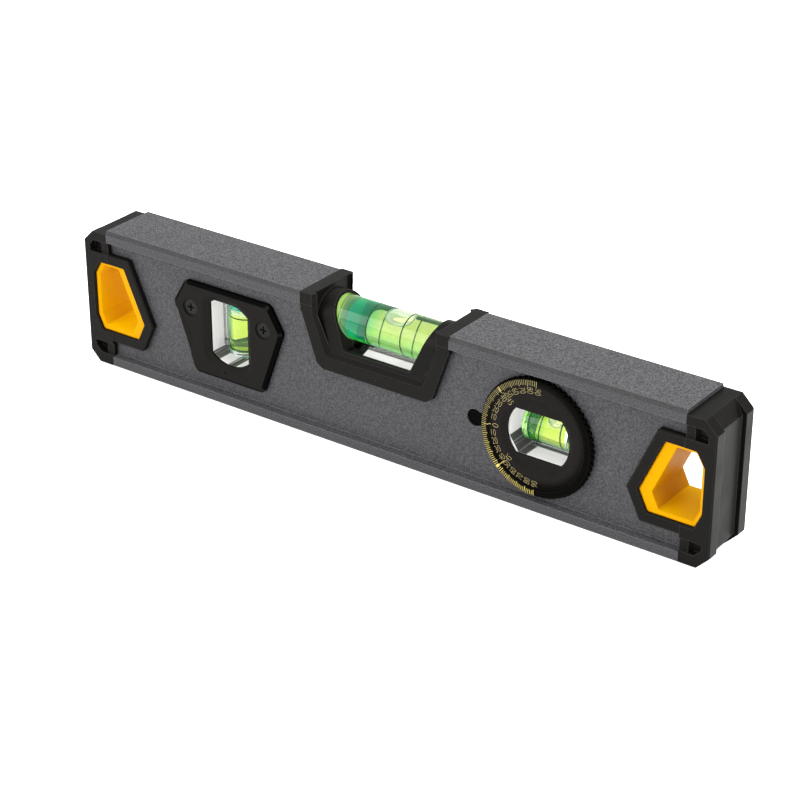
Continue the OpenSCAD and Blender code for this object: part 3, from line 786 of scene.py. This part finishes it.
@dataclass
class Vial:
    """Glass vial with its liquid and bubble, along X before it is turned in place.

    Attributes:
        name: First part of the names of its nodes.
        body: Body that it rides on.
        radius: Outer radius.
        bore: Radius of the bore.
        span: Lower and higher X of the tube.
        liquid: Lower and higher X of the liquid.
        foot: Half-length, half-width and depth of the foot below the axis.
        bubble: Half-length, half-width and height of the bubble.
        bubble_at: Middle of the bubble along X.
        turn: Matrix that puts the vial in place.
        upright: Whether the bubble sits at the end of the bore.
        foot_base: Depth of the base of the foot that gets the painted shade.
        gap: Room between the bubble and the bore.
        skin: How far the glass lies inside its plain outline.
        chamfers: End chamfers of the glass, the plug and the liquid.
        plug_inset: How far the plug lies inside the end of the glass.
        plug_gap: Room between the plug and the liquid.
        blunt: Power that blunts the ends of the bubble, where 1 leaves them round.
        hang: How far the middle of a lying bubble hangs below the bore, in its heights.
        wall: Straight wall of an upright bubble, in its heights.
        flare: How fast an upright bubble widens to the whole bore.
        sharp: Degrees above which an edge of the glass stays sharp.
    """

    name: str
    body: Body
    radius: float
    bore: float
    span: Pair
    liquid: Pair
    foot: Triple
    bubble: Triple
    bubble_at: float
    turn: Matrix
    upright: bool = False
    foot_base: float = 1.2 * MM
    gap: float = 0.06 * MM
    skin: float = 0.01 * MM
    chamfers: Triple = (0.4 * MM, 0.2 * MM, 0.15 * MM)
    plug_inset: float = 0.3 * MM
    plug_gap: float = 0.05 * MM
    blunt: float = 0.8
    hang: float = 0.75
    wall: float = 0.6
    flare: float = 1.25
    sharp: float = 35.0

    def build(self, finishes: Finishes) -> None:
        """Make the glass and the liquid, and hide the plain nodes.

        Args:
            finishes: Materials.
        """
        pieces = {
            "_vial": self.glass_piece(finishes),
            "_vial_plug": self.plug_piece(finishes),
            "_liquid": self.liquid_piece(finishes),
        }
        for ending, piece in pieces.items():
            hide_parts(self.name + ending)
            piece.visible_shadow = False
            piece.visible_diffuse = False

    def glass_piece(self, finishes: Finishes) -> bpy.types.Object:
        """Make the outer glass with its foot.

        Args:
            finishes: Materials.

        Returns:
            The piece.
        """
        bm = bmesh.new()
        tube_mesh(bm, self.radius - self.skin, *self.span, self.chamfers[0])
        bm.transform(self.turn)
        # The base of the foot gets the painted shade
        materials = [finishes.get(self.name + "_glass"), finishes.get("foot")]
        looks = (self.body, Slot.CLEAR, materials)
        obj = mesh_object(self.name + "_glass", bm, *looks)
        tool = mesh_object(self.name + "_foot_tool", self.foot_mesh(), *looks)
        union = obj.modifiers.new("foot", "BOOLEAN")
        union.operation = "UNION"
        union.object = tool
        union.solver = "EXACT"
        bpy.context.view_layer.update()
        graph = bpy.context.evaluated_depsgraph_get()
        whole = bpy.data.meshes.new_from_object(obj.evaluated_get(graph))
        obj.modifiers.clear()
        obj.data = whole
        bpy.data.objects.remove(tool)
        whole.shade_smooth()
        whole.set_sharp_from_angle(angle=math.radians(self.sharp))
        return obj

    def foot_mesh(self) -> bmesh.types.BMesh:
        """Make the foot as a block whose base has the second material, the painted shade.

        Returns:
            The mesh, in place.
        """
        half_x, half_y, depth = self.foot
        bm = bmesh.new()
        levels = []
        for z in (-depth, self.foot_base - depth, 0.0):
            corners = ((-half_x, -half_y), (half_x, -half_y), (half_x, half_y), (-half_x, half_y))
            levels.append([bm.verts.new((x, y, z)) for x, y in corners])
        bm.faces.new(list(reversed(levels[0]))).material_index = 1
        bm.faces.new(levels[-1])
        for step, (low, high) in enumerate(zip(levels, levels[1:])):
            for i in range(4):
                j = (i + 1) % 4
                bm.faces.new((low[i], low[j], high[j], high[i])).material_index = 1 - step
        bm.transform(self.turn)
        return bm

    def plug_piece(self, finishes: Finishes) -> bpy.types.Object:
        """Make the plug at the open end of the bore.

        Args:
            finishes: Materials.

        Returns:
            The piece.
        """
        bm = bmesh.new()
        ends = (self.span[0] + self.plug_inset, self.liquid[0] - self.plug_gap)
        tube_mesh(bm, self.bore, *ends, self.chamfers[1])
        bm.transform(self.turn)
        name = self.name + "_plug"
        return mesh_object(name, bm, self.body, Slot.CLEAR, [finishes.get(name)])

    def liquid_piece(self, finishes: Finishes) -> bpy.types.Object:
        """Make the liquid with the hollow of its bubble.

        Args:
            finishes: Materials.

        Returns:
            The piece.
        """
        bm = bmesh.new()
        tube_mesh(bm, self.bore, *self.liquid, self.chamfers[2])
        outside = len(bm.faces)
        cells = bmesh.ops.create_uvsphere(bm, u_segments=48, v_segments=24, radius=1.0)["verts"]
        shape = self.upright_point if self.upright else self.lying_point
        for vert in cells:
            vert.co = shape(vert.co, self.bore - self.gap)
        bm.faces.ensure_lookup_table()
        inner = bm.faces[outside:]
        for face in inner:
            face.material_index = 1
            face.smooth = True
        bmesh.ops.reverse_faces(bm, faces=inner)
        bm.verts.index_update()
        bm.faces.sort(key=face_rank)
        bm.transform(self.turn)
        name = self.name + "_spirit"
        materials = [finishes.get(name), finishes.get("bubble")]
        return mesh_object(name, bm, self.body, Slot.LIQUID, materials)

    def lying_point(self, place: Vector, limit: float) -> Vector:
        """Put a point of the unit sphere on a bubble that lies under the top of the bore.

        Args:
            place: The point of the unit sphere.
            limit: Largest distance from the axis.

        Returns:
            The point on the bubble.
        """
        x, y, z = place
        half, wide, high = self.bubble
        along = self.bubble_at + half * math.copysign(abs(x) ** self.blunt, x)
        point = Vector((along, wide * y, self.bore - high * self.hang + high * z))
        reach = math.hypot(point.y, point.z)
        if reach > limit:
            point.y *= limit / reach
            point.z *= limit / reach
        return point

    def upright_point(self, place: Vector, limit: float) -> Vector:
        """Put a point of the unit sphere on a bubble that fills the end of an upright bore.

        Args:
            place: The point of the unit sphere.
            limit: Largest distance from the axis.

        Returns:
            The point on the bubble.
        """
        x, y, z = place
        top = self.liquid[0] + self.gap
        high = self.bubble[2]
        depth = high * max(x, 0.0) ** self.blunt + self.wall * high * (x > 0)
        reach = math.hypot(y, z)
        scale = limit * min(1.0, reach * self.flare) / reach if reach > 1e-6 else 0.0
        return Vector((top + depth, y * scale, z * scale))


def vial_in_frame(
    name: str,
    body: Body,
    foot: Pair,
    bubble: Triple,
    bubble_at: float = 0.0,
    upright: bool = False,
) -> Vial:
    """Read the place of a vial from the frame.

    Args:
        name: First part of the names of its nodes.
        body: Body that it rides on.
        foot: Half-length and half-width of its foot.
        bubble: Half-length, half-width and height of the bubble.
        bubble_at: Middle of the bubble from the middle of the tube.
        upright: Whether the vial stands, or else lies along X.

    Returns:
        The vial.
    """
    low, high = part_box(name + "_liquid")
    ring_low, ring_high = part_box(name + "_rings")
    tube_low, tube_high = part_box(name + "_vial")
    along, across, side = (2, 0, 0) if upright else (0, 2, 1)
    axis = (ring_low[across] + ring_high[across]) / 2
    middle = (tube_low[along] + tube_high[along]) / 2
    half = (tube_high[along] - tube_low[along]) / 2
    if upright:
        liquid = (middle - high.z, middle - low.z)
        turn = Matrix.Translation((axis, 0, middle)) @ Matrix.Rotation(math.radians(90), 4, "Y")
    else:
        liquid = (low.x - middle, high.x - middle)
        turn = Matrix.Translation((middle, 0, axis))
    return Vial(
        name=name,
        body=body,
        radius=(ring_high[across] - ring_low[across]) / 2,
        bore=(high[side] - low[side]) / 2,
        span=(-half, half),
        liquid=liquid,
        foot=(*foot, axis - tube_low[across] - FOOT_ROOM),
        bubble=bubble,
        bubble_at=bubble_at,
        turn=turn,
        upright=upright,
    )


@dataclass
class DialScale:
    """Printed degree scale on the dished front bezel.

    Attributes:
        centre: Middle of the dial in the front view.
        profile: Radius and Y of the plastic, from the number ring out to the rim.
        lift: Height of the print above the plastic.
        line: Outer radius of every line and inner radius of the short ones.
        long_line: Inner radius of the lines at every ten degrees.
        zero_line: Inner radius of the line at zero.
        half_line: Inner radius of the lines at 45 degrees.
        widths: Widths of the line at zero, the long, the short and the 45 degree lines.
        block: Width of the block at 45 degrees.
        step: Degrees between the lines.
        number_at: Radius of the middle of the numbers.
        number_size: Size of the letters.
        number_thin: How far the strokes of the numbers are drawn in.
        number_squeeze: Width of a number against its plain width.
        half_drop: How far the 45 lies inside the other numbers.
        zero_drop: How far the 0 lies inside them.
    """

    centre: Pair
    profile: tuple[Pair, ...]
    lift: float = 0.02 * MM
    line: Pair = (19.9 * MM, 18.2 * MM)
    long_line: float = 17.8 * MM
    zero_line: float = 16.8 * MM
    half_line: float = 16.0 * MM
    widths: Quad = (0.28 * MM, 0.2 * MM, 0.16 * MM, 0.22 * MM)
    block: float = 0.9 * MM
    step: int = 2
    number_at: float = 16.15 * MM
    number_size: float = 3.3 * MM
    number_thin: float = 0.09 * MM
    number_squeeze: float = 0.7
    half_drop: float = 2.1 * MM
    zero_drop: float = 0.9 * MM

    def depth(self, radius: float) -> float:
        """Find the Y of the print at a radius.

        Args:
            radius: Distance from the middle of the dial.

        Returns:
            Y just in front of the plastic.
        """
        low = self.profile[0]
        for high in self.profile[1:]:
            if radius <= high[0]:
                share = max(0.0, (radius - low[0]) / (high[0] - low[0]))
                plastic = low[1] + share * (high[1] - low[1])
                return max(plastic - self.lift, self.profile[1][1])
            low = high
        return low[1] - self.lift

    def point(self, angle: float, radius: float, side: float = 0.0) -> Vector:
        """Find a point of the print.

        Args:
            angle: Degrees from +X towards +Z.
            radius: Distance from the middle of the dial.
            side: Sideways shift along the circle.

        Returns:
            The point.
        """
        turn = math.radians(angle)
        x = self.centre[0] + radius * math.cos(turn) - side * math.sin(turn)
        z = self.centre[1] + radius * math.sin(turn) + side * math.cos(turn)
        return Vector((x, self.depth(radius), z))

    def tick(self, bm: bmesh.types.BMesh, degree: float, inner: float, width: float) -> None:
        """Add one radial line that follows the dish.

        Args:
            bm: Mesh to add to.
            degree: Place on the scale, from 0 at the left.
            inner: Inner radius.
            width: Width of the line.
        """
        outer = self.line[0]
        bends = [radius for radius, _ in reversed(self.profile) if inner < radius < outer]
        stops = [outer, *bends, inner]
        pairs = []
        for radius in stops:
            sides = (-width / 2, width / 2)
            pairs.append([bm.verts.new(self.point(180 - degree, radius, side)) for side in sides])
        for (a, b), (c, d) in zip(pairs, pairs[1:]):
            bm.faces.new((a, b, d, c))

    def ticks(self, finishes: Finishes) -> bpy.types.Object:
        """Make all the lines as one mesh.

        Args:
            finishes: Materials.

        Returns:
            The piece.
        """
        bm = bmesh.new()
        zero, long, short, half = self.widths
        for degree in range(-90, 91, self.step):
            if degree == 0:
                self.tick(bm, degree, self.zero_line, zero)
            elif degree % 10 == 0:
                self.tick(bm, degree, self.long_line, long)
            elif abs(degree) not in (44, 46):
                self.tick(bm, degree, self.line[1], short)
        for degree in (-45, 45):
            self.tick(bm, degree, self.half_line, half)
            self.tick(bm, degree, self.line[1], self.block)
        bmesh.ops.recalc_face_normals(bm, faces=bm.faces)
        return mesh_object("scale_lines", bm, Body.DIAL, Slot.BLACK, [finishes.get("print")])

    def number(
        self, text: str, degree: float, radius: float, finishes: Finishes, across: bool = True
    ) -> None:
        """Make one printed number.

        Args:
            text: The number.
            degree: Its place on the scale, from 0 at the left.
            radius: Radius of the middle of the number.
            finishes: Materials.
            across: Whether it reads from outside towards the middle, or else along the circle.
        """
        side = {-1: "_low", 0: "", 1: "_up"}[(degree > 0) - (degree < 0)]
        curve = bpy.data.curves.new("number_" + text + side, "FONT")
        curve.body = text
        curve.size = self.number_size
        curve.align_x = "CENTER"
        curve.align_y = "CENTER"
        curve.offset = -self.number_thin
        obj = bpy.data.objects.new("scale_number_" + text + side, curve)
        curve.materials.append(finishes.get("number_print"))
        bpy.context.scene.collection.objects.link(obj)
        inward = math.radians(-degree) if across else math.radians(-90 - degree)
        along = Vector((math.cos(inward), 0, math.sin(inward)))
        up = Vector((-along.z, 0, along.x))
        turn = Matrix((along, up, along.cross(up))).transposed().to_4x4()
        squeeze = Matrix.Diagonal((self.number_squeeze if across else 1.0, 1.0, 1.0, 1.0))
        obj.matrix_world = Matrix.Translation(self.point(180 - degree, radius)) @ turn @ squeeze
        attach(obj, Body.DIAL.value)
        LOG.info("%s built", obj.name)

    def build(self, finishes: Finishes) -> None:
        """Make the lines and numbers.

        Args:
            finishes: Materials.
        """
        self.ticks(finishes)
        for side in (1, -1):
            for tens in range(10, 100, 10):
                self.number(str(tens), side * tens, self.number_at, finishes)
            self.number("45", side * 45, self.number_at - self.half_drop, finishes)
        self.number("0", 0, self.number_at - self.zero_drop, finishes, across=False)


def dial_scale() -> DialScale:
    """Read the bezel's place from the frame.

    Returns:
        The scale.
    """
    low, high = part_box("dial_front_bezel")
    radius = (high.x - low.x) / 2
    bends = ((3.2, 0.8), (2.8, 0.0), (0.9, 0.1), (0.7, 0.1), (0.0, 0.9))
    return DialScale(
        centre=((low.x + high.x) / 2, (low.z + high.z) / 2),
        profile=tuple((radius - inset * MM, low.y + back * MM) for inset, back in bends),
    )


@dataclass
class Casing:
    """Beam, caps, liners, housings and covers of the level, which keep their solid form."""

    paint: Names = ("beam",)
    black: Names = ("left_end_cap", "right_end_cap", "level_housing")
    cover: Names = ("plumb_front_cover", "plumb_rear_cover")
    bezel: Names = ("dial_front_bezel", "dial_rear_bezel")
    housing: Names = ("dial_housing",)
    yellow: Names = ("left_hole_liner", "right_hole_liner")
    white: Names = ("level_reflector",)
    plumb_white: Names = ("plumb_carrier",)
    dial_white: Names = ("dial_carrier",)
    steel: Names = ("plumb_screws",)
    rubber: Names = ("dial_friction_ring",)
    ring: Names = ("level_rings", "plumb_rings", "dial_rings")

    def build(self, finishes: Finishes) -> None:
        """Dress every node that shows."""
        for part in fields(self):
            finishes.dress(getattr(self, part.name), part.name)


@dataclass(frozen=True)
class Lamp:
    """Soft square lamp that points at the level.

    Attributes:
        name: Name of the lamp.
        place: Where it hangs.
        size: Side of its square.
        power: Watts.
    """

    name: str
    place: Triple
    size: float
    power: float

    def build(self, target: Sequence[float]) -> None:
        """Make the lamp.

        Args:
            target: Where it points.
        """
        data = bpy.data.lights.new(self.name, "AREA")
        data.size = self.size
        data.energy = self.power
        obj = bpy.data.objects.new(self.name, data)
        obj.location = self.place
        way = Vector(target) - Vector(self.place)
        obj.rotation_euler = way.to_track_quat("-Z", "Y").to_euler()
        bpy.context.scene.collection.objects.link(obj)


@dataclass
class Studio:
    """Camera, floor, lights and backdrop.

    Attributes:
        camera_at: Place of the camera.
        azimuth: Degrees that the camera is turned about Z.
        elevation: Degrees that it looks down.
        lens: Focal length in mm.
        sensor: Width of the sensor in mm.
        world: Brightness of the surroundings.
        floor_light: Glow of the floor towards the level.
        floor_half: Half the side of the floor.
        floor_gap: Room between the floor and the level.
        aim: Where the lamps point.
        lamps: The lamps.
    """

    camera_at: Triple = (0.395165, -0.541807, 0.359386)
    azimuth: float = 35.92
    elevation: float = 27.09
    lens: float = 103.05
    sensor: float = 36.0
    world: float = 0.8
    floor_light: float = 0.15
    floor_half: float = 3.0
    floor_gap: float = 0.2 * MM
    aim: Triple = (0.0, 0.0, 0.02)
    lamps: tuple[Lamp, ...] = (
        Lamp("top_softbox", (0.1, 0.1, 0.9), 0.9, 6.0),
        Lamp("front_softbox", (-0.5, -0.9, 0.5), 0.8, 5.0),
        Lamp("right_softbox", (0.9, -0.1, 0.35), 0.6, 3.0),
    )

    def build(self, finishes: Finishes) -> None:
        """Make the studio.

        Args:
            finishes: Materials.
        """
        self.camera()
        self.floor(finishes)
        for lamp in self.lamps:
            lamp.build(self.aim)
        self.surroundings()
        scene = bpy.context.scene
        scene.view_settings.view_transform = "Standard"
        scene.view_settings.look = "None"
        LOG.info("studio built")

    def camera(self) -> None:
        """Make the camera at the picture's angle."""
        data = bpy.data.cameras.new("camera")
        data.lens = self.lens
        data.sensor_width = self.sensor
        data.clip_start = 0.01
        obj = bpy.data.objects.new("camera", data)
        obj.location = self.camera_at
        obj.rotation_euler = (math.radians(90 - self.elevation), 0, math.radians(self.azimuth))
        bpy.context.scene.collection.objects.link(obj)
        bpy.context.scene.camera = obj

    def floor(self, finishes: Finishes) -> None:
        """Make the pale floor under the level.

        Args:
            finishes: Shared node groups.
        """
        bm = bmesh.new()
        bmesh.ops.create_grid(bm, x_segments=1, y_segments=1, size=self.floor_half)
        mesh = bpy.data.meshes.new("floor")
        bm.to_mesh(mesh)
        bm.free()
        mesh.materials.append(self.floor_paper(finishes))
        obj = bpy.data.objects.new("floor", mesh)
        obj.location.z = -self.floor_gap
        bpy.context.scene.collection.objects.link(obj)

    def floor_paper(self, finishes: Finishes) -> bpy.types.Material:
        """Make the bright paper of the floor.

        Args:
            finishes: Shared node groups.

        Returns:
            The material.
        """
        material, tree, out = material_of("paper_floor")
        grain = tree.add("Group", node_tree=finishes.groups["grain"])
        grain.inputs["Grain Scale"].default_value = 300.0
        low, high = screen((246, 246, 246)), screen((255, 255, 255))
        colour = tree.mix(grain.outputs["Grain"], low, high)
        inputs = {"Base Color": colour, "Roughness": 0.9, "Emission Color": colour}
        shader = tree.add("BsdfPrincipled", inputs)
        seen = tree.add("LightPath").outputs["Is Camera Ray"]
        glow = tree.math("MULTIPLY_ADD", seen, 1.0 - self.floor_light, self.floor_light)
        tree.link(shader, {"Emission Strength": glow})
        tree.link(out, {"Surface": shader.outputs[0]})
        return material

    def surroundings(self) -> None:
        """Make the even white surroundings."""
        world = bpy.data.worlds.new("surroundings")
        world.use_nodes = True
        tree = Tree(world.node_tree)
        back = world.node_tree.nodes["Background"]
        back.inputs["Color"].default_value = rgba((1.0, 1.0, 1.0))
        seen = tree.add("LightPath").outputs["Is Camera Ray"]
        bright = tree.math("MULTIPLY_ADD", seen, 1.0 - self.world, self.world)
        tree.link(back, {"Strength": bright})
        bpy.context.scene.world = world


def write_sizes() -> None:
    """Define a helper that turns a box into lists of numbers; it writes nothing."""

    def plain(box: Sequence[Sequence[float]]) -> list[list[float]]:
        """Turn a box into lists of numbers."""
        return [[float(value) for value in corner] for corner in box]


def main() -> None:
    """Build every piece in order."""
    logging.basicConfig(level=logging.INFO, format="%(message)s")
    finishes = Finishes()
    Studio().build(finishes)
    Casing().build(finishes)
    level = vial_in_frame(
        "level", Body.LEVEL, foot=(16.4 * MM, 3.6 * MM), bubble=(5.4 * MM, 3.7 * MM, 1.9 * MM),
        bubble_at=3.2 * MM,
    )
    plumb = vial_in_frame(
        "plumb", Body.LEVEL, foot=(8 * MM, 2.8 * MM), bubble=(0.0, 0.0, 1.5 * MM), upright=True
    )
    dial = vial_in_frame(
        "dial", Body.DIAL, foot=(7 * MM, 2 * MM), bubble=(3.3 * MM, 3.4 * MM, 2.6 * MM),
        bubble_at=1.9 * MM,
    )
    for vial in (level, plumb, dial):
        vial.build(finishes)
    dial_scale().build(finishes)
    write_sizes()


if __name__ == "__main__":
    main()
